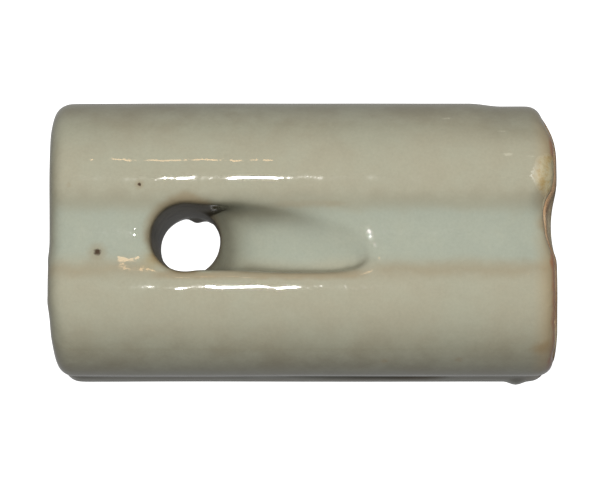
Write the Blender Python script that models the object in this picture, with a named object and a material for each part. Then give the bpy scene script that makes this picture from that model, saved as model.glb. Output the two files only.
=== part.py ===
"""Porcelain strain insulator for a wire fence, 76 mm long.

A lobed porcelain bar has two wire holes that cross at right angles, one near each end. From each
mouth of a hole a ramped groove runs up to the face, towards the far end, so the two wire loops
interlock and squeeze the porcelain between them. The bar lies on two of its long edges on z = 0,
centred on x = 0 and y = 0, and +X runs along it to its unglazed end. Hole A is upright near the -X
end, hole B lies along Y near the +X end. Everything is modelled about the bar's own centre and
lifted onto z = 0 last.
"""

import math

import bmesh
import bpy
from mathutils import Matrix, Vector

MM = 0.001

# The bar
LENGTH = 76.0 * MM
WIDTH = 41.4 * MM
LOBE_RADIUS = 12.4 * MM  # each long edge of the bar
VALLEY_DEPTH = 1.2 * MM  # shallow hollow along the middle of each long side
END_ROUNDING_ALONG = 3.6 * MM
END_ROUNDING_ACROSS = 4.0 * MM

# Wire holes and the ramped grooves that lead out of them
HOLE_RADIUS = 4.9 * MM
HOLE_FROM_CENTRE = 16.6 * MM
GROOVE_HALF_WIDTH = 4.75 * MM
GROOVE_NOSE_START_X = 6.4 * MM
GROOVE_NOSE_END_X = 10.4 * MM
GROOVE_NOSE_DEPTH = 0.5 * MM  # below the valley, at the nose
RAMP_RADIUS = 200.0 * MM  # the wire lies on this long curve
RAMP_NOSE_SLOPE = math.radians(11)
LIP_RADIUS = 7.5 * MM  # the wire bends over this into the hole
LIP_OVERRUN = 0.35 * MM  # the lip's curve starts this far inside the hole, so that the two cross cleanly

# Shallow channel across each end, where the two strands of the far hole's wire come together
CHANNEL_RADIUS = 18.0 * MM
CHANNEL_DEPTH = 0.7 * MM

# Fired glass skin, and the bare end that the bar stood on in the kiln
GLAZE = 0.4 * MM
GAP = 0.3 * MM
BARE_MARGIN = 1.2 * MM  # the glaze stops this far short of the bare end's face

# Facets
LOBE_STEPS = 8
VALLEY_STEPS = 4
ROUNDING_STEPS = 4
HOLE_STEPS = 28
RAMP_STEPS = 5
LIP_STEPS = 7
NOSE_STEPS = 5
GROOVE_STEPS = 10
CHANNEL_STEPS = 64

LOBE_CENTRE = WIDTH / 2 - LOBE_RADIUS
VALLEY_RADIUS = (LOBE_CENTRE**2 + VALLEY_DEPTH**2) / (2 * VALLEY_DEPTH) - LOBE_RADIUS
VALLEY_CENTRE = VALLEY_RADIUS + WIDTH / 2 - VALLEY_DEPTH
TURN = math.asin(LOBE_CENTRE / (VALLEY_RADIUS + LOBE_RADIUS))  # how far a lobe's arc runs past square
VALLEY_FLOOR = WIDTH / 2 - VALLEY_DEPTH
CUTTER_REACH = WIDTH / 2 + 4 * MM


def clear_scene():
    for obj in list(bpy.data.objects):
        bpy.data.objects.remove(obj, do_unlink=True)


def new_collection(name, helpers=False):
    collection = bpy.data.collections.new(name)
    bpy.context.scene.collection.children.link(collection)
    collection.hide_render = helpers
    return collection


def material(name, colour, roughness):
    made = bpy.data.materials.new(name)
    made.use_nodes = True
    shader = made.node_tree.nodes["Principled BSDF"]
    shader.inputs["Base Color"].default_value = (*colour, 1)
    shader.inputs["Roughness"].default_value = roughness
    shader.inputs["Metallic"].default_value = 0
    return made


def link_mesh(name, bm):
    """An object round bm, with smooth shading that breaks at the edges."""
    mesh = bpy.data.meshes.new(name)
    bm.to_mesh(mesh)
    bm.free()
    mesh.shade_smooth()
    mesh.set_sharp_from_angle(angle=math.radians(35))
    return bpy.data.objects.new(name, mesh)


def arc(centre_y, centre_z, radius, start, end, steps):
    """Points along an arc from start up to, but not at, its end."""
    for k in range(steps):
        angle = start + (end - start) * k / steps
        yield centre_y + radius * math.cos(angle), centre_z + radius * math.sin(angle)


def section(inset):
    """The bar's cross-section, taken in by inset: four lobes joined by four valleys, as (y, z) points."""
    points = []
    for side in range(4):
        spin = Matrix.Rotation(side * math.pi / 2, 2)
        quarter = math.pi / 2
        lobe = arc(LOBE_CENTRE, LOBE_CENTRE, LOBE_RADIUS - inset, -TURN, quarter + TURN, LOBE_STEPS)
        valley = arc(0, VALLEY_CENTRE, VALLEY_RADIUS + inset, TURN - quarter, -TURN - quarter, VALLEY_STEPS)
        points += [spin @ Vector(point) for point in (*lobe, *valley)]
    return points


def loft(name, rings):
    """A closed mesh through rings of equal length, the first and last of them capped."""
    bm = bmesh.new()
    loops = [[bm.verts.new(point) for point in ring] for ring in rings]
    for low, high in zip(loops, loops[1:]):
        for k in range(len(low)):
            nxt = (k + 1) % len(low)
            bm.faces.new((low[k], low[nxt], high[nxt], high[k]))
    bm.faces.new(loops[0])
    bm.faces.new(loops[-1])
    bmesh.ops.recalc_face_normals(bm, faces=bm.faces)
    return link_mesh(name, bm)


def bar(name, inset, high_end):
    """The uncut bar, taken in by inset all round, with its +X end at high_end."""
    rings = []
    stations = [math.pi / 2 * k / ROUNDING_STEPS for k in range(ROUNDING_STEPS + 1)]
    low_end = inset - LENGTH / 2
    for angle in stations:
        x = low_end + END_ROUNDING_ALONG * (1 - math.sin(math.pi / 2 - angle))
        shrink = END_ROUNDING_ACROSS * (1 - math.sin(angle))
        rings.append([(x, y, z) for y, z in section(inset + shrink)])
    for angle in stations:
        x = high_end - END_ROUNDING_ALONG * (1 - math.sin(angle))
        shrink = END_ROUNDING_ACROSS * (1 - math.cos(angle))
        rings.append([(x, y, z) for y, z in section(inset + shrink)])
    return loft(name, rings)


def hole_cutter(name, inset):
    """Hole A: a cylinder right through the bar."""
    bm = bmesh.new()
    radius = HOLE_RADIUS + inset
    bmesh.ops.create_cone(
        bm, cap_ends=True, segments=HOLE_STEPS, radius1=radius, radius2=radius, depth=2 * CUTTER_REACH
    )
    bm.transform(Matrix.Translation((-HOLE_FROM_CENTRE, 0, 0)))
    return link_mesh(name, bm)


def ramp_floor(inset):
    """Middle line of hole A's groove floor as (x, z) points, from inside the hole to the end of the nose."""
    centre_x = GROOVE_NOSE_END_X + RAMP_RADIUS * math.sin(RAMP_NOSE_SLOPE)
    centre_z = VALLEY_FLOOR - GROOVE_NOSE_DEPTH - RAMP_RADIUS * math.cos(RAMP_NOSE_SLOPE)
    inward = RAMP_RADIUS - LIP_RADIUS
    lip_x = LIP_RADIUS + HOLE_RADIUS - LIP_OVERRUN - HOLE_FROM_CENTRE
    lip_slope = math.asin((centre_x - lip_x) / inward)
    lip_z = centre_z + inward * math.cos(lip_slope)
    points = [(-HOLE_FROM_CENTRE, lip_z)]
    radius = LIP_RADIUS - inset
    for k in range(LIP_STEPS):
        slope = math.pi / 2 + (lip_slope - math.pi / 2) * k / LIP_STEPS
        points.append((lip_x - radius * math.sin(slope), lip_z + radius * math.cos(slope)))
    radius = RAMP_RADIUS - inset
    nose_slope = math.asin((centre_x - GROOVE_NOSE_START_X) / radius)
    for k in range(RAMP_STEPS):
        slope = lip_slope + (nose_slope - lip_slope) * k / RAMP_STEPS
        points.append((centre_x - radius * math.sin(slope), centre_z + radius * math.cos(slope)))
    for k in range(NOSE_STEPS + 1):
        along = math.sin(math.pi / 2 * k / NOSE_STEPS)
        x = GROOVE_NOSE_START_X + (GROOVE_NOSE_END_X + inset - GROOVE_NOSE_START_X) * along
        points.append((x, centre_z + math.sqrt(radius**2 - (centre_x - x) ** 2)))
    return points


def groove_cutter(name, inset):
    """Hole A's upper groove: a round-bottomed trough that follows the ramp and closes in a blunt nose."""
    brim = LOBE_CENTRE + math.sqrt(LOBE_RADIUS**2 - (LOBE_CENTRE - GROOVE_HALF_WIDTH) ** 2)
    nose_length = GROOVE_NOSE_END_X + inset - GROOVE_NOSE_START_X
    rings = []
    for x, floor in ramp_floor(inset):
        into_nose = min(max((x - GROOVE_NOSE_START_X) / nose_length, 0), 0.98)
        closing = math.sqrt(1 - into_nose**2)
        half_width = (GROOVE_HALF_WIDTH + inset) * closing
        round_depth = min(brim - floor, GROOVE_HALF_WIDTH + inset)
        round_top = floor + round_depth
        ring = [(x, half_width, CUTTER_REACH), (x, -half_width, CUTTER_REACH)]
        for k in range(GROOVE_STEPS + 1):
            angle = math.pi * k / GROOVE_STEPS
            z = round_top - round_depth * closing * math.sin(angle)
            ring.append((x, -half_width * math.cos(angle), z))
        rings.append(ring)
    return loft(name, rings)


def channel_cutter(name, inset):
    """A cylinder that leaves a shallow upright channel down the middle of the bar's +X end."""
    bm = bmesh.new()
    radius = CHANNEL_RADIUS + inset
    bmesh.ops.create_cone(
        bm, cap_ends=True, segments=CHANNEL_STEPS, radius1=radius, radius2=radius, depth=2 * CUTTER_REACH
    )
    bm.transform(Matrix.Translation((LENGTH / 2 - CHANNEL_DEPTH + CHANNEL_RADIUS, 0, 0)))
    return link_mesh(name, bm)


def placed(make, name, inset, turns, collection):
    """One cutter for each turn: the copies share their mesh."""
    first = make(name, inset)
    cutters = []
    for k, turn in enumerate(turns):
        cutter = bpy.data.objects.new(f"{name}_{k + 1}", first.data)
        cutter.matrix_world = turn
        cutter.hide_render = True
        cutter.display_type = "WIRE"
        collection.objects.link(cutter)
        cutters.append(cutter)
    bpy.data.objects.remove(first)
    return cutters


def cut(obj, cutters):
    for cutter in cutters:
        modifier = obj.modifiers.new(cutter.name, "BOOLEAN")
        modifier.operation = "DIFFERENCE"
        modifier.solver = "EXACT"
        modifier.object = cutter


def insulator_shape(name, inset, high_end, cutters_in):
    """The whole cut shape, taken in by inset: the bar less its holes, grooves and end channels."""
    body = bar(name, inset, high_end)
    upright = Matrix.Identity(4)
    swap_ends = Matrix.Rotation(math.pi, 4, "Z")
    quarter = [Matrix.Rotation(math.pi / 2 * k, 4, "X") for k in range(4)]
    both_holes = [upright, quarter[1] @ swap_ends]
    all_faces = [upright, quarter[2], quarter[1] @ swap_ends, quarter[3] @ swap_ends]
    cut(body, placed(hole_cutter, f"{name}_hole", inset, both_holes, cutters_in))
    cut(body, placed(groove_cutter, f"{name}_groove", inset, all_faces, cutters_in))
    cut(body, placed(channel_cutter, f"{name}_bare_channel", 0, both_holes[:1], cutters_in))
    cut(body, placed(channel_cutter, f"{name}_glazed_channel", inset, both_holes[1:], cutters_in))
    return body


def end_box(name, from_x, collection):
    """Everything beyond from_x, which takes the glaze off the bare end."""
    bm = bmesh.new()
    bmesh.ops.create_cube(bm, size=2 * WIDTH)
    bm.transform(Matrix.Translation((from_x + WIDTH, 0, 0)))
    box = link_mesh(name, bm)
    box.hide_render = True
    box.display_type = "WIRE"
    collection.objects.link(box)
    return box


def lift(distance):
    for obj in bpy.data.objects:
        obj.matrix_world = Matrix.Translation((0, 0, distance)) @ obj.matrix_world


def main():
    clear_scene()
    insulator = new_collection("fence_insulator")
    cutters = new_collection("cutters", helpers=True)

    body = insulator_shape("porcelain_body", GLAZE + GAP, LENGTH / 2, cutters)
    body.data.materials.append(material("bare_porcelain", (0.56, 0.47, 0.34), 0.75))
    insulator.objects.link(body)

    lining = insulator_shape("glaze_lining", GLAZE, LENGTH / 2, cutters)
    lining.hide_render = True
    lining.display_type = "WIRE"
    cutters.objects.link(lining)

    coat = insulator_shape("glaze_coat", 0, LENGTH / 2, cutters)
    cut(coat, [lining, end_box("bare_end", LENGTH / 2 - BARE_MARGIN, cutters)])
    coat.data.materials.append(material("glaze", (0.50, 0.49, 0.39), 0.12))
    insulator.objects.link(coat)

    lift(WIDTH / 2)


main()
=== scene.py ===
import math

import bmesh
import bpy
from mathutils import Matrix, Vector, noise


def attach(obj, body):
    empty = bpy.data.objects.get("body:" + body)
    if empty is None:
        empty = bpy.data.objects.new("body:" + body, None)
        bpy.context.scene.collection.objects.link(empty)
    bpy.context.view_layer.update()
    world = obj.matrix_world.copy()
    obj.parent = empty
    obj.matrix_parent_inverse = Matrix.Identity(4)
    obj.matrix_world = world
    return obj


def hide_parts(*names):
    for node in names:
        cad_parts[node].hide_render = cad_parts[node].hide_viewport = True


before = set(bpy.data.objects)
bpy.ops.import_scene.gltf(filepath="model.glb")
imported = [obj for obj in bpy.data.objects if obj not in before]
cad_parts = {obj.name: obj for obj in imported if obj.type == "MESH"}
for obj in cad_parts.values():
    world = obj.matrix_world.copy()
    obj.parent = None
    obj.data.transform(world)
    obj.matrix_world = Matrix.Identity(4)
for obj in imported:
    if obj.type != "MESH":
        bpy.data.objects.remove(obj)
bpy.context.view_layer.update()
mm = 0.001


# shapes are in millimetres about the bar's own centre
bar = {
    "length": 76.0,
    "width": 41.4,
    "lobeRadius": 12.4,
    "valleyDepth": 1.2,
    "endRound": 2.7,  # rounding of the end edges
    "endCrown": 0.3,  # how far the ends fall away towards their rim
    "voxel": 0.5,
    "softening": 9,  # rounds of smoothing, which give the pressed edges their soft lips
}

wireHole = {
    "fromCentre": 17.5,
    "radius": 4.75,
    "mouthRadius": 5.2,
    "oval": 1.02,  # along the bar
    "lean": 2.2,  # degrees
    "aside": 0.13,
}

wireGroove = {
    "halfWidth": 4.8,
    "noseStart": 5.0,
    "noseEnd": 10.3,
    "noseDepth": 0.45,
    "edges": (  # along the bar, then the edge that stays crisp and the one that fades into the valley
        (-17.5, -5.5, 4.3), (-9.4, -5.5, 4.1), (-2.6, -5.85, 3.7), (3.6, -5.8, 3.4), (10.3, -5.1, 3.0),
    ),
    "roll": 0.28,  # the floor tips this much by the nose
    "pivot": -2.5,
    "slopes": (  # steepness of the wire's ramp in degrees, from the nose back into the hole
        (10.0, 10), (5.6, 12), (-2.7, 13), (-4.9, 16), (-7.2, 24), (-8.6, 34), (-9.4, 41), (-10.1, 48),
        (-10.9, 57), (-12.1, 64), (-16.9, 66),
    ),
}

endChannel = {"radius": 17.0, "depth": 0.75, "aside": 1.5}

lobeCentre = bar["width"] / 2 - bar["lobeRadius"]
valleyRadius = (lobeCentre**2 + bar["valleyDepth"] ** 2) / (2 * bar["valleyDepth"]) - bar["lobeRadius"]
valleyFloor = bar["width"] / 2 - bar["valleyDepth"]
reach = bar["width"] / 2 + 4


def ramp(value, low, high):
    t = min(max((value - low) / (high - low), 0), 1)
    return t * t * (3 - 2 * t)


def keep(name, bm):
    mesh = bpy.data.meshes.new(name)
    bm.to_mesh(mesh)
    bm.free()
    obj = bpy.data.objects.new(name, mesh)
    bpy.context.scene.collection.objects.link(obj)
    return obj


def bakeModifiers(obj):
    bpy.context.view_layer.update()
    solved = obj.evaluated_get(bpy.context.evaluated_depsgraph_get())
    mesh = bpy.data.meshes.new_from_object(solved)
    obj.modifiers.clear()
    obj.data = mesh


def pressedBar(inset, highEnd):
    bm = bmesh.new()
    turn = math.asin(lobeCentre / (valleyRadius + bar["lobeRadius"]))
    lobe = bar["lobeRadius"] - inset
    start = Matrix.Rotation(-turn, 3, "X") @ Vector((0, lobe, 0)) + Vector((0, lobeCentre, lobeCentre))
    tip = bm.verts.new(start)
    for side in range(4):  # each side is a lobe, then the valley that follows it
        quarter = Matrix.Rotation(side * math.pi / 2, 3, "X")
        for cent, angle, steps in (
            ((0, lobeCentre, lobeCentre), math.pi / 2 + 2 * turn, 30),
            ((0, 0, valleyFloor + valleyRadius), -2 * turn, 12),
        ):
            spun = bmesh.ops.spin(
                bm, geom=[tip], cent=quarter @ Vector(cent), axis=(1, 0, 0), angle=angle, steps=steps
            )
            tip = [part for part in spun["geom_last"] if isinstance(part, bmesh.types.BMVert)][0]
    bmesh.ops.remove_doubles(bm, verts=bm.verts, dist=0.001)
    bmesh.ops.contextual_create(bm, geom=bm.edges)
    lowEnd = inset - bar["length"] / 2
    bmesh.ops.translate(bm, verts=bm.verts, vec=(lowEnd, 0, 0))
    grown = bmesh.ops.extrude_face_region(bm, geom=bm.faces)["geom"]
    farEnd = [part for part in grown if isinstance(part, bmesh.types.BMVert)]
    bmesh.ops.translate(bm, verts=farEnd, vec=(highEnd - lowEnd, 0, 0))
    bmesh.ops.recalc_face_normals(bm, faces=bm.faces)
    rims = [edge for edge in bm.edges if abs(edge.verts[0].co.x - edge.verts[1].co.x) < 0.001]
    bmesh.ops.bevel(
        bm, geom=rims, offset=bar["endRound"], segments=6, profile=0.5, affect="EDGES", material=-1,
        clamp_overlap=False,
    )
    return keep("pressedBar", bm)


def holeCutter(inset):
    bm = bmesh.new()
    waist = (wireHole["radius"] + inset) / (wireHole["mouthRadius"] + inset)
    bmesh.ops.create_circle(bm, cap_ends=True, segments=72, radius=wireHole["mouthRadius"] + inset)
    bmesh.ops.translate(bm, verts=bm.verts, vec=(0, 0, -reach))
    face = list(bm.faces)
    for k, size in enumerate((waist, 1 / waist)):
        grown = bmesh.ops.extrude_face_region(bm, geom=face)["geom"]
        if k:
            bmesh.ops.delete(bm, geom=[old for old in face if old.is_valid], context="FACES_ONLY")
        face = [part for part in grown if isinstance(part, bmesh.types.BMFace)]
        verts = [part for part in grown if isinstance(part, bmesh.types.BMVert)]
        bmesh.ops.scale(bm, verts=verts, vec=(size, size, 1))
        bmesh.ops.translate(bm, verts=verts, vec=(0, 0, reach))
    bmesh.ops.recalc_face_normals(bm, faces=bm.faces)
    bm.transform(Matrix.Diagonal((wireHole["oval"], 1, 1, 1)))
    bm.transform(Matrix.Rotation(math.radians(wireHole["lean"]), 4, "X"))
    bm.transform(Matrix.Translation((-wireHole["fromCentre"], 0, 0)))
    return keep("holeCutter", bm)


def rampStations(inset):
    g = wireGroove
    floor = valleyFloor - g["noseDepth"]
    stations = []
    for (x, slope), (nextX, nextSlope) in zip(g["slopes"], g["slopes"][1:]):
        for k in range(6):
            here = math.radians(slope + (nextSlope - slope) * k / 6)
            stations.append((x + (nextX - x) * k / 6, floor - inset / math.cos(here)))
            floor -= (x - nextX) / 6 * math.tan(here)
    stations.append((nextX, floor - inset))
    nose = g["noseEnd"] + inset
    stations = [(x, z) for x, z in stations if x < g["noseStart"]][::-1]
    edge = stations[-1][1]
    length = nose - g["noseStart"]
    rise = valleyFloor - g["noseDepth"] - inset - edge
    for k in range(13):
        into = math.sin(math.pi / 2 * k / 12)
        stations.append((g["noseStart"] + length * into, edge + rise * into))
    return stations


def between(table, x):
    for low, high in zip(table, table[1:]):
        if x <= high[0]:
            t = max((x - low[0]) / (high[0] - low[0]), 0)
            return [a + (b - a) * t for a, b in zip(low[1:], high[1:])]
    return list(table[-1][1:])


def grooveCutter(inset):
    g = wireGroove
    bm = bmesh.new()
    upright = Matrix.Rotation(math.pi / 2, 4, "Y")
    bmesh.ops.create_circle(bm, cap_ends=True, segments=40, radius=1, matrix=upright)
    brim = lobeCentre + math.sqrt(bar["lobeRadius"] ** 2 - (lobeCentre - g["halfWidth"]) ** 2)
    noseLength = g["noseEnd"] + inset - g["noseStart"]
    unit = {}

    def place(verts, x, floor):
        into = min(max((x - g["noseStart"]) / noseLength, 0), 0.985)
        crisp, faded = between(g["edges"], x)
        middle, half = (crisp + faded) / 2, (faded - crisp) / 2 + inset
        roll = g["roll"] * ramp(x, -9, 8)
        depth = min(brim - floor, g["halfWidth"] + inset)
        for vert in verts:
            y, z = unit[vert]
            closing = (1 - into**3) ** (1 / 3)
            if y < 0 and z < 0.01:  # a flatter floor on the crisp side
                z = -((1 - min(-y, 1) ** 4) ** 0.25)
            y = middle + y * half * closing
            z = floor + depth + z * depth * closing + roll * (y - g["pivot"]) if z < 0.01 else reach + z
            vert.co = (x, y, z)

    for vert in bm.verts:
        unit[vert] = (vert.co.y, vert.co.z)
    stations = rampStations(inset)
    place(bm.verts, *stations[0])
    front = list(bm.faces)
    for k, (x, floor) in enumerate(stations[1:]):
        before = list(front[0].verts)
        grown = bmesh.ops.extrude_face_region(bm, geom=front)["geom"]
        if k:  # only the first face stays, as the cap
            bmesh.ops.delete(bm, geom=[face for face in front if face.is_valid], context="FACES_ONLY")
        front = [part for part in grown if isinstance(part, bmesh.types.BMFace)]
        after = [part for part in grown if isinstance(part, bmesh.types.BMVert)]
        for vert in after:
            twin = min(before, key=lambda other: (other.co - vert.co).length_squared)
            unit[vert] = unit[twin]
        place(after, x, floor)
    bmesh.ops.recalc_face_normals(bm, faces=bm.faces)
    return keep("grooveCutter", bm)


def channelCutter(inset):
    bm = bmesh.new()
    radius = endChannel["radius"] + inset
    bmesh.ops.create_cone(bm, cap_ends=True, segments=160, radius1=radius, radius2=radius, depth=2 * reach)
    bm.transform(Matrix.Translation((bar["length"] / 2 - endChannel["depth"] + endChannel["radius"], 0, 0)))
    return keep("channelCutter", bm)


def carve(body, cutter, turns):
    for turn in turns:
        copy = bpy.data.objects.new("cut", cutter.data.copy())
        bpy.context.scene.collection.objects.link(copy)
        copy.data.transform(turn)
        modifier = body.modifiers.new("cut", "BOOLEAN")
        modifier.operation = "DIFFERENCE"
        modifier.solver = "EXACT"
        modifier.object = copy
        bakeModifiers(body)
        bpy.data.objects.remove(copy)
    bpy.data.objects.remove(cutter)


def shift(x=0, y=0, z=0):
    return Matrix.Translation((x, y, z))


def carvedBar(inset, highEnd, cutInset):
    body = pressedBar(inset, highEnd)
    swap = Matrix.Rotation(math.pi, 4, "Z")
    quarter = [Matrix.Rotation(math.pi / 2 * k, 4, "X") for k in range(4)]
    hole = wireHole["aside"]
    carve(body, holeCutter(cutInset), [shift(y=hole), quarter[1] @ swap @ shift(y=0.3)])
    carve(
        body, grooveCutter(cutInset),
        [
            shift(),
            quarter[2] @ shift(y=0.9),
            quarter[1] @ swap @ shift(y=0.5),
            quarter[3] @ swap @ shift(y=0.8),
        ],
    )
    lower = inset - skin["thickness"]  # the glaze ends a little lower than the clay
    carve(body, channelCutter(0), [shift(x=lower, y=endChannel["aside"])])
    carve(body, channelCutter(inset), [quarter[1] @ swap])
    return body


def remeshed(body, voxel):
    modifier = body.modifiers.new("even", "REMESH")
    modifier.mode = "VOXEL"
    modifier.voxel_size = voxel
    bakeModifiers(body)


def thumbed(p):
    # the fading edge of each groove was rubbed soft
    level = abs(p.z) > abs(p.y)
    along = p.x if level else -p.x
    if level:
        across = p.y if p.z > 0 else -p.y
    else:
        across = p.z if p.y > 0 else -p.z
    high = max(abs(p.y), abs(p.z))
    mouth = math.hypot(along + wireHole["fromCentre"], across + 0.5)
    return high > 15 and ((-12 < along < 9 and 1.5 < across < 6.5) or (4.4 < mouth < 7 and across > -3.5))


def soften(body, rounds):
    bm = bmesh.new()
    bm.from_mesh(body.data)
    soft = [vert for vert in bm.verts if thumbed(vert.co)]
    for _ in range(rounds * 2):
        bmesh.ops.smooth_vert(bm, verts=soft, factor=0.5, use_axis_x=True, use_axis_y=True, use_axis_z=True)
    for _ in range(rounds):
        bmesh.ops.smooth_vert(
            bm, verts=bm.verts, factor=0.5, use_axis_x=True, use_axis_y=True, use_axis_z=True
        )
    bm.to_mesh(body.data)
    bm.free()


handwork = {
    "lump": 0.05,  # slow swells in the pressed clay
    "lumpSize": 19.0,
    "ripple": 0.004,  # small waves in the glaze
    "rippleSize": 3.2,
    "chipDepth": 0.1,
    "chip": (36.9, 8.7, 20.0, 3.8),  # bare, pitted spot at the end of one lobe: x, y, z, radius
    "exitDip": 0.8,  # the valley sinks this far where the wire leaves over the end
    "wornCorner": 1.25,  # the far right corner falls away most
    "fullCorner": 0.2,  # the near right one stands out
    "softCorner": 0.45,  # the near left one
    "proudLeft": 0.3,  # and a rise beside it
    "shoulder": 0.45,  # flattened stretch on the far right lobe
    "drips": (  # glaze beads and one dent: x, y, z, radius, height
        (33.2, -20.4, -9.0, 1.3, 0.5), (-16.9, 5.4, -17.6, 1.3, 0.8), (36.4, 4.7, 19.4, 2.1, -0.9),
    ),
}


def workSurface(body, glazed):
    h = handwork
    half = bar["length"] / 2
    mesh = body.data
    chip = Vector(h["chip"][:3])
    normals = [vert.normal.copy() for vert in mesh.vertices]
    for vert, normal in zip(mesh.vertices, normals):
        p = vert.co.copy()
        out = h["lump"] * noise.noise(p / h["lumpSize"])
        if glazed:
            out += h["ripple"] * noise.noise(p / h["rippleSize"] + Vector((7, 3, 1)))
        gap = p - chip
        near = gap.length + 0.6 * noise.noise(p * 0.9)
        worn = 1 - ramp(near, h["chip"][3] - 2.6, h["chip"][3] - 0.4)
        if worn > 0:
            out -= worn * h["chipDepth"] * (0.6 + 1.1 * noise.noise(p * 1.1))
        for x, y, z, radius, height in h["drips"]:
            away = Vector((p.x - x, (p.y - y) * 0.8, (p.z - z) * 0.45)).length
            out += height * (1 - ramp(away, 0, radius * 1.5))
        # the ends fall away towards their rims, more at some corners than at others
        rim = max(abs(p.y), abs(p.z)) / (bar["width"] / 2)
        end = ramp(abs(p.x), half - 9, half)
        crown = bar["endCrown"] * ramp(rim, 0.35, 1.0) * end
        if p.x > 0 and p.y > 0:
            crown += h["wornCorner"] * ramp(p.y, 11, 21) * end
        if p.x > 0 and p.y < 0:
            crown -= h["fullCorner"] * ramp(-p.y, 11, 20) * end
        if p.x < 0 and p.y < 0:
            crown += h["softCorner"] * ramp(-p.y, 10, 20) * end
            crown -= h["proudLeft"] * (1 - ramp(abs(p.y + 7), 2, 6)) * end
        out -= h["shoulder"] * ramp(p.x, 25, 30) * ramp(p.y, 13, 19)
        across = p.y - 1.0 if p.x > 0 else p.z
        high = abs(p.z) if p.x > 0 else abs(p.y)
        out -= h["exitDip"] * end * (1 - ramp(abs(across), 0.5, 5.5)) * ramp(high, 12, 17)
        vert.co = p + normal * out - Vector((math.copysign(crown, p.x), 0, 0))


def finishPiece(body, name, material):
    body.name = name
    body.data.name = name
    body.data.transform(Matrix.Translation((0, 0, bar["width"] / 2)))
    body.data.transform(Matrix.Scale(mm, 4))
    body.data.materials.clear()
    body.data.materials.append(material)
    body.data.shade_smooth()
    body.data.update()
    return body


class Wire:
    def __init__(self, maker, socket):
        self.maker = maker
        self.socket = socket

    def sum(self, kind, *others):
        return self.maker.add("Math", {"operation": kind}, dict(enumerate((self, *others))))

    def __add__(self, other):
        return self.sum("ADD", other)

    def __radd__(self, other):
        return self.sum("ADD", other)

    def __sub__(self, other):
        return self.sum("SUBTRACT", other)

    def __rsub__(self, other):
        return self.maker.add("Math", {"operation": "SUBTRACT"}, {0: other, 1: self})

    def __mul__(self, other):
        return self.sum("MULTIPLY", other)

    def __rmul__(self, other):
        return self.sum("MULTIPLY", other)

    def __abs__(self):
        return self.sum("ABSOLUTE")

    def least(self, other):
        return self.sum("MINIMUM", other)

    def most(self, other):
        return self.sum("MAXIMUM", other)

    def step(self, low, high):
        ends = {"Value": self, "From Min": low, "From Max": high}
        return self.maker.add("MapRange", {"interpolation_type": "SMOOTHSTEP"}, ends)

    def band(self, low, high, soft):
        return self.step(low - soft, low + soft) * (1 - self.step(high - soft, high + soft))


class Maker:
    def __init__(self, name):
        self.material = bpy.data.materials.new(name)
        self.material.use_nodes = True
        self.tree = self.material.node_tree
        self.shader = self.tree.nodes["Principled BSDF"]

    def add(self, kind, settings, values, output=0):
        node = self.tree.nodes.new("ShaderNode" + kind)
        for key, value in settings.items():
            setattr(node, key, value)
        for key, value in values.items():
            if isinstance(value, Wire):
                self.tree.links.new(value.socket, node.inputs[key])
            else:
                node.inputs[key].default_value = value
        return Wire(self, node.outputs[output])

    def mix(self, factor, first, second, blend="MIX"):
        return self.add(
            "Mix", {"data_type": "RGBA", "blend_type": blend}, {0: factor, 6: first, 7: second}, output=2
        )

    def noise(self, place, size, detail=2.0, rough=0.5, output=0):
        return self.add(
            "TexNoise", {}, {"Vector": place, "Scale": 1 / size, "Detail": detail, "Roughness": rough}, output
        )

    def place(self):  # in millimetres, about the bar's centre
        raw = self.add("TexCoord", {}, {}, output="Object")
        big = self.add("VectorMath", {"operation": "SCALE"}, {0: raw, "Scale": 1000.0})
        return self.add("VectorMath", {"operation": "SUBTRACT"}, {0: big, 1: (0, 0, bar["width"] / 2)})

    def reach(self, place, spot, across):
        flat = self.add("VectorMath", {"operation": "SUBTRACT"}, {0: place, 1: spot})
        flat = self.add("VectorMath", {"operation": "MULTIPLY"}, {0: flat, 1: across})
        return self.add("VectorMath", {"operation": "LENGTH"}, {0: flat}, output="Value")

    def split(self, vector):
        return [self.add("SeparateXYZ", {}, {0: vector}, output=k) for k in range(3)]

    def wire(self, value, socket):
        self.tree.links.new(value.socket, self.shader.inputs[socket])


def tint(r, g, b):
    return tuple(((c / 255 + 0.055) / 1.055) ** 2.4 if c > 10 else c / 3294.6 for c in (r, g, b)) + (1.0,)


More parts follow.
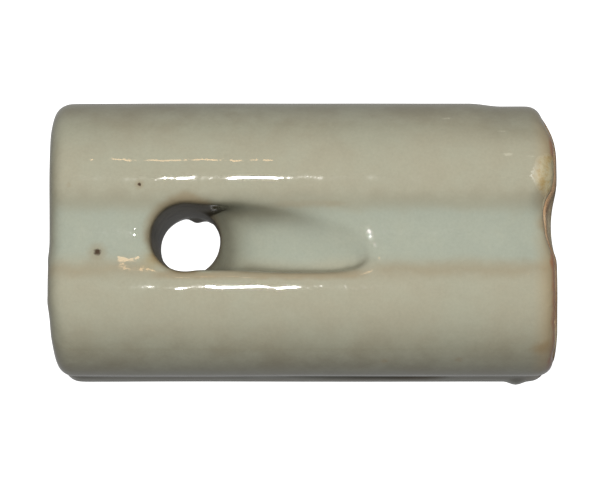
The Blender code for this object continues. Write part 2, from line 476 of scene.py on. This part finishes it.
glazeLook = {
    "warm": tint(141, 138, 121),
    # painted reflection: the cooler tint of the hollows
    "reflectedCool": tint(141, 146, 134),
    # painted light: lighter colour for the tops that face the lamp
    "paintedLitTop": tint(145, 142, 125),
    "milky": tint(141, 143, 128),
    # painted shade: darker colour for the sides that turn away from the lamp
    "paintedFlankShade": tint(112, 108, 91),
    "stain": tint(124, 106, 78),
    "tan": tint(144, 124, 92),
    "rust": tint(132, 84, 54),
    "bare": tint(150, 141, 113),
    "ochre": tint(140, 121, 80),
    # dirt and painted shade for the hole walls, and below it blotches of painted shadow
    "holeDirtAndShade": tint(128, 118, 98),
    "holeShadowBlotch": tint(84, 76, 62),
    "shade": tint(120, 117, 100),
    "scratchGlint": tint(168, 165, 148),
    "speck": tint(50, 32, 20),
    "roughness": 0.035,
    "ochreSpot": (-22.4, -4.2, 18.6),
    "pimples": (  # small rises that catch the light: x, y, z
        (-24.8, 0.2, 19.6), (33.8, 0.6, 19.6), (35.0, 2.5, 19.6), (34.0, -0.8, 19.6), (33.5, -6.3, 20.4),
        (35.3, -5.5, 20.2), (36.4, -8.7, 20.4), (36.4, -10.8, 20.2), (9.9, 0.0, 19.6), (10.5, -1.7, 19.6),
        (6.4, 4.0, 19.9),
    ),
    # light scratch marks: real scratches, painted lighter as the highlight they catch
    "scratchGlints": ((30.3, 11.6, 20.2), (33.6, 11.3, 20.0), (21.5, 17.5, 16.9), (29.6, 15.4, 18.6)),
    "smears": ((36.0, -17.0, 17.2), (36.6, 1.5, 18.6)),
    "specks": (  # x, y, z and radius
        (-24.2, 7.1, 20.6, 0.3), (-30.4, -2.9, 19.6, 0.62), (-34.6, 7.1, 20.2, 0.22),
        (12.1, -18.4, 14.8, 0.3), (23.1, -18.2, 15.0, 0.3), (-3.0, -6.1, 19.7, 0.22),
        (5.0, 8.0, -20.5, 0.4), (-20.0, 20.5, 6.0, 0.35),
    ),
}


def glazeMaterial():
    look = glazeLook
    m = Maker("glaze")
    place = m.place()
    x, y, z = m.split(place)
    facing = m.split(m.add("TexCoord", {}, {}, output="Normal"))
    slow = m.noise(place, 13, 2)
    mid = m.noise(place, 3.5, 3, 0.6)
    fine = m.noise(place, 0.45, 2, 0.7)
    # the hollows are tinted cool and blue-grey as a painted reflection of the sky; the lobes keep the glaze's
    # warm tone
    inward = abs(y).least(abs(z))
    hollowReflection = 1 - (inward + (slow - 0.5) * 3).step(2.4, 6.4)
    colour = m.mix(hollowReflection, look["warm"], look["reflectedCool"])
    # painted light: surfaces facing up towards the lamp are painted lighter
    lit = facing[2].step(0.6, 1.0) * (1 - hollowReflection)
    colour = m.mix(lit * 0.8, colour, look["paintedLitTop"])
    # painted shade: the sides that turn away from the lamp are painted darker
    paintedFlankShade = abs(facing[2]).band(0.2, 0.75, 0.3)
    colour = m.mix(paintedFlankShade * 0.75, colour, look["paintedFlankShade"])
    colour = m.mix((slow * 0.6 + mid * 0.4).step(0.36, 0.66) * 0.5, colour, look["milky"])
    grain = (fine - 0.5) * 0.16 + (mid - 0.5) * 0.12 + 1
    colour = m.mix(1.0, colour, m.add("CombineXYZ", {}, {0: grain, 1: grain, 2: grain}), "MULTIPLY")
    # brown stain that the wire and the weather left along one side of each hollow
    level = (abs(z) - abs(y)).step(-0.5, 0.5)
    across = level * y + (1 - level) * z
    along = level * x - (1 - level) * x
    wander = (mid - 0.5) * 3
    line = across + wander
    beside = line.band(-6.4, -4.6, 1.1) * (along.step(8, 13) + (1 - along.step(-25, -20)))
    brimLow = (across + wander * 0.4).band(-6.9, -5.7, 0.45) * along.band(-22, 9, 1.5)
    brimHigh = (across + wander * 0.4).band(3.9, 4.7, 0.35) * along.band(-4, 6, 2)
    stain = (beside * 0.34 + brimLow * 0.5 + brimHigh * 0.25) * (0.4 + mid)
    # painted shade: a grey band along the other side of each hollow, where the lobe turns down away from the
    # lamp
    colour = m.mix(line.band(3.4, 5.8, 1.2) * 0.3, colour, look["shade"])
    colour = m.mix(stain, colour, look["stain"])
    ochreSpot = m.reach(place, look["ochreSpot"], (1, 1, 1)) + (mid - 0.5) * 3
    colour = m.mix((1 - ochreSpot.step(0.4, 3.0)) * 0.65, colour, look["ochre"])
    # dirt and painted shade on the walls inside the holes, with blotches of painted shadow, and a stain
    # around their rims
    holeA = m.reach(place, (-wireHole["fromCentre"], wireHole["aside"] - 0.3, 0), (1, 1, 0))
    holeB = m.reach(place, (wireHole["fromCentre"], 0, -0.3), (1, 0, 1))
    deepA = (1 - holeA.step(5.5, 6.1)) * (1 - abs(facing[2]).step(0.15, 0.5))
    deepB = (1 - holeB.step(5.5, 6.1)) * (1 - abs(facing[1]).step(0.15, 0.5))
    deep = deepA.most(deepB)
    rimA = (1 - (holeA + (mid - 0.5) * 1.5).step(5.2, 6.6)) * abs(z).step(14, 15)
    rimB = (1 - (holeB + (mid - 0.5) * 1.5).step(5.2, 6.6)) * abs(y).step(14, 15)
    colour = m.mix(rimA.most(rimB) * 0.5, colour, look["stain"])
    # painted shade: the hole walls are painted darker, then darker still in blotches
    colour = m.mix(deep * (0.6 + mid * 0.5), colour, look["holeDirtAndShade"])
    colour = m.mix(deep * (mid * 0.6 + fine * 0.4).step(0.44, 0.62) * 0.6, colour, look["holeShadowBlotch"])
    # the rusty line where the glaze ends, and the warm halo behind it
    edge = x + (mid - 0.5) * 1.2 + (slow - 0.5) * 1.2
    colour = m.mix(edge.step(33.4, 37.0) * 0.6, colour, look["tan"])
    colour = m.mix(edge.step(36.3, 37.0) * 0.85, colour, look["rust"])
    for smear in look["smears"]:
        away = m.reach(place, smear, (0.55, 1, 1)) + (mid - 0.5) * 1.5
        colour = m.mix((1 - away.step(0.4, 1.8)) * 0.6, colour, look["stain"])
    # light scratch marks: real scratches, painted lighter as the highlight they catch
    for scratchGlint in look["scratchGlints"]:
        away = m.reach(place, scratchGlint, (0.5, 1.6, 1)) + (fine - 0.5) * 0.7
        colour = m.mix((1 - away.step(0.15, 0.5)) * 0.6, colour, look["scratchGlint"])
    # iron specks
    for sx, sy, sz, radius in look["specks"]:
        away = m.reach(place, (sx, sy, sz), (1, 1, 1)) + (fine - 0.5) * 0.5
        colour = m.mix((1 - away.step(radius * 0.9, radius * 3.2)) * 0.35, colour, look["stain"])
        colour = m.mix((1 - away.step(radius * 0.5, radius * 1.1)) * 0.9, colour, look["speck"])
    # bare, pitted spot
    *spot, radius = handwork["chip"]
    away = m.reach(place, spot, (1, 1, 1))
    bare = 1 - (away + (mid - 0.5) * 2.6 + (fine - 0.5) * 1.0).step(radius - 1.8, radius - 0.1)
    patchColour = m.mix(m.noise(place, 1.3, 3, 0.7).step(0.4, 0.65), look["bare"], look["ochre"])
    colour = m.mix(bare, colour, patchColour)
    m.wire(colour, "Base Color")
    dull = fine.step(0.62, 0.8) * 0.05 + mid * 0.04 + look["roughness"] - 0.02
    m.wire(dull + (bare * 4).least(1.0) * 0.55 + stain * 0.15 + deep * 0.4, "Roughness")
    m.shader.inputs["IOR"].default_value = 1.5
    # ripples and orange peel, and pits in the bare spot
    peel = m.noise(place, 1.8, 2, 0.5) * 0.018 + m.noise(place, 5.0, 1) * 0.09
    pits = m.noise(place, 0.8, 3, 0.6) * 0.10 * bare * bare
    for pimple in look["pimples"]:
        away = m.reach(place, pimple, (0.7, 1, 0.3))
        peel = peel + (1 - away.step(0.0, 0.5)) * 0.045
    bump = m.add("Bump", {}, {"Strength": 1.0, "Distance": mm, "Height": peel + pits})
    m.wire(bump, "Normal")
    return m.material


bareLook = {
    "light": tint(204, 190, 158),
    "dark": tint(170, 146, 110),
    "rust": tint(140, 98, 66),
    "roughness": 0.78,
}


def bareMaterial():
    look = bareLook
    m = Maker("bareFiredClay")
    place = m.place()
    x, y, z = m.split(place)
    grit = m.noise(place, 0.6, 4, 0.7)
    cloud = m.noise(place, 6, 3, 0.6)
    rim = abs(y).most(abs(z)) + (cloud - 0.5) * 5
    colour = m.mix(cloud.step(0.35, 0.7) * 0.8, look["light"], look["dark"])
    colour = m.mix(rim.step(14.5, 19.0) * 0.7, colour, look["rust"])
    shade = (grit - 0.5) * 0.5 + 1
    colour = m.mix(1.0, colour, m.add("CombineXYZ", {}, {0: shade, 1: shade, 2: shade}), "MULTIPLY")
    m.wire(colour, "Base Color")
    m.wire(grit * 0.2 + (look["roughness"] - 0.1), "Roughness")
    height = grit * 0.12 + m.noise(place, 2.2, 2) * 0.15
    m.wire(m.add("Bump", {}, {"Strength": 1.0, "Distance": mm, "Height": height}), "Normal")
    return m.material


skin = {"thickness": 0.35, "stopsShort": 0.45, "wobble": 0.3}


def wavyEnd():
    bm = bmesh.new()
    upright = Matrix.Rotation(math.pi / 2, 4, "Y")
    bmesh.ops.create_grid(bm, x_segments=80, y_segments=80, size=30, matrix=upright)
    for vert in bm.verts:
        wave = noise.noise(Vector((3, vert.co.y / 3, vert.co.z / 3)))
        vert.co.x = bar["length"] / 2 - skin["stopsShort"] + skin["wobble"] * wave
    grown = bmesh.ops.extrude_face_region(bm, geom=bm.faces)["geom"]
    for part in grown:
        if isinstance(part, bmesh.types.BMVert):
            part.co.x = bar["length"]
    bmesh.ops.recalc_face_normals(bm, faces=bm.faces)
    return keep("wavyEnd", bm)


def buildGlaze():
    body = carvedBar(0, bar["length"] / 2, 0)
    carve(body, wavyEnd(), [Matrix.Identity(4)])
    remeshed(body, bar["voxel"])
    soften(body, bar["softening"])
    workSurface(body, True)
    finishPiece(body, "glazeSkin", glazeMaterial())
    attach(body, "root")
    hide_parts("glaze_coat")
    print("glaze skin:", len(body.data.polygons), "faces")


def buildBody():
    body = carvedBar(skin["thickness"], bar["length"] / 2, 1.0)
    remeshed(body, 0.7)
    soften(body, 5)
    workSurface(body, False)
    finishPiece(body, "porcelainCore", bareMaterial())
    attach(body, "root")
    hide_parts("porcelain_body")
    print("porcelain core:", len(body.data.polygons), "faces")


studio = {
    "floorShade": 0.14,
    "floorGlow": 1.0,
    "floorLight": 0.2,
    "dimWorld": 0.09,
}

lamps = {  # metres and watts
    "key": {
        "place": (-0.018, 0.040, 0.50), "size": (0.020, 0.004), "power": 3.3, "colour": (1, 0.985, 0.95),
    },
    "warmLamp": {
        "place": (-0.05, 0.51, 0.9), "size": (0.05, 0.04), "power": 0.06, "colour": (1, 0.6, 0.3),
    },
}

lens = {"distance": 0.5, "tilt": 5.2, "focal": 195.0, "aim": (-0.00047, 0.00073)}


def whiteForCamera(tree, dark, glow):  # the glow lights nothing, it is only seen
    path = tree.nodes.new("ShaderNodeLightPath")
    mixer = tree.nodes.new("ShaderNodeMixShader")
    tree.links.new(path.outputs["Is Camera Ray"], mixer.inputs[0])
    tree.links.new(dark, mixer.inputs[1])
    tree.links.new(glow, mixer.inputs[2])
    return mixer.outputs[0]


def layFloor():
    bm = bmesh.new()
    bmesh.ops.create_grid(bm, x_segments=1, y_segments=1, size=3)
    floor = keep("floor", bm)
    material = bpy.data.materials.new("paleFloor")
    material.use_nodes = True
    tree = material.node_tree
    shader = tree.nodes["Principled BSDF"]
    shader.inputs["Base Color"].default_value = (studio["floorShade"],) * 3 + (1,)
    shader.inputs["Roughness"].default_value = 1
    shader.inputs["Specular IOR Level"].default_value = 0
    shader.inputs["Emission Color"].default_value = (1, 1, 1, 1)
    shader.inputs["Emission Strength"].default_value = studio["floorLight"]
    glow = tree.nodes.new("ShaderNodeEmission")
    glow.inputs["Strength"].default_value = studio["floorGlow"]
    both = tree.nodes.new("ShaderNodeAddShader")
    tree.links.new(shader.outputs[0], both.inputs[0])
    tree.links.new(glow.outputs[0], both.inputs[1])
    seen = whiteForCamera(tree, shader.outputs[0], both.outputs[0])
    tree.links.new(seen, tree.nodes["Material Output"].inputs["Surface"])
    floor.data.materials.append(material)


def fillAir():
    world = bpy.data.worlds.new("studioAir")
    bpy.context.scene.world = world
    world.use_nodes = True
    tree = world.node_tree
    dim = tree.nodes["Background"]
    dim.inputs["Strength"].default_value = studio["dimWorld"]
    dim.inputs["Color"].default_value = (0.95, 0.98, 1, 1)
    bright = tree.nodes.new("ShaderNodeBackground")
    bright.inputs["Color"].default_value = (1, 1, 1, 1)
    bright.inputs["Strength"].default_value = studio["floorGlow"] + 0.03
    seen = whiteForCamera(tree, dim.outputs[0], bright.outputs[0])
    tree.links.new(seen, tree.nodes["World Output"].inputs["Surface"])


def hangLamp(name, lamp):
    data = bpy.data.lights.new(name, "AREA")
    data.shape = "RECTANGLE"
    data.size, data.size_y = lamp["size"]
    data.energy = lamp["power"]
    data.color = lamp["colour"]
    obj = bpy.data.objects.new(name, data)
    bpy.context.scene.collection.objects.link(obj)
    obj.location = lamp["place"]
    obj.rotation_euler = (Vector((0, 0, 0.02)) - Vector(lamp["place"])).to_track_quat("-Z", "Y").to_euler()


def setCamera():
    data = bpy.data.cameras.new("camera")
    camera = bpy.data.objects.new("camera", data)
    bpy.context.scene.collection.objects.link(camera)
    bpy.context.scene.camera = camera
    tilt = math.radians(lens["tilt"])
    back = Vector((0, -math.sin(tilt), math.cos(tilt)))
    middle = Vector((lens["aim"][0], lens["aim"][1], bar["width"] / 2 * mm))
    camera.location = middle + back * lens["distance"]
    camera.rotation_euler = (-back).to_track_quat("-Z", "Y").to_euler()
    data.lens = lens["focal"]
    data.sensor_width = 36
    data.clip_start, data.clip_end = 0.01, 10


def buildStudio():
    layFloor()
    fillAir()
    for name, lamp in lamps.items():
        hangLamp(name, lamp)
    setCamera()
    bpy.context.scene.view_settings.view_transform = "Standard"
    bpy.context.scene.view_settings.look = "None"
    print("studio: floor,", len(lamps), "lamps and a camera")


buildGlaze()
buildBody()
buildStudio()
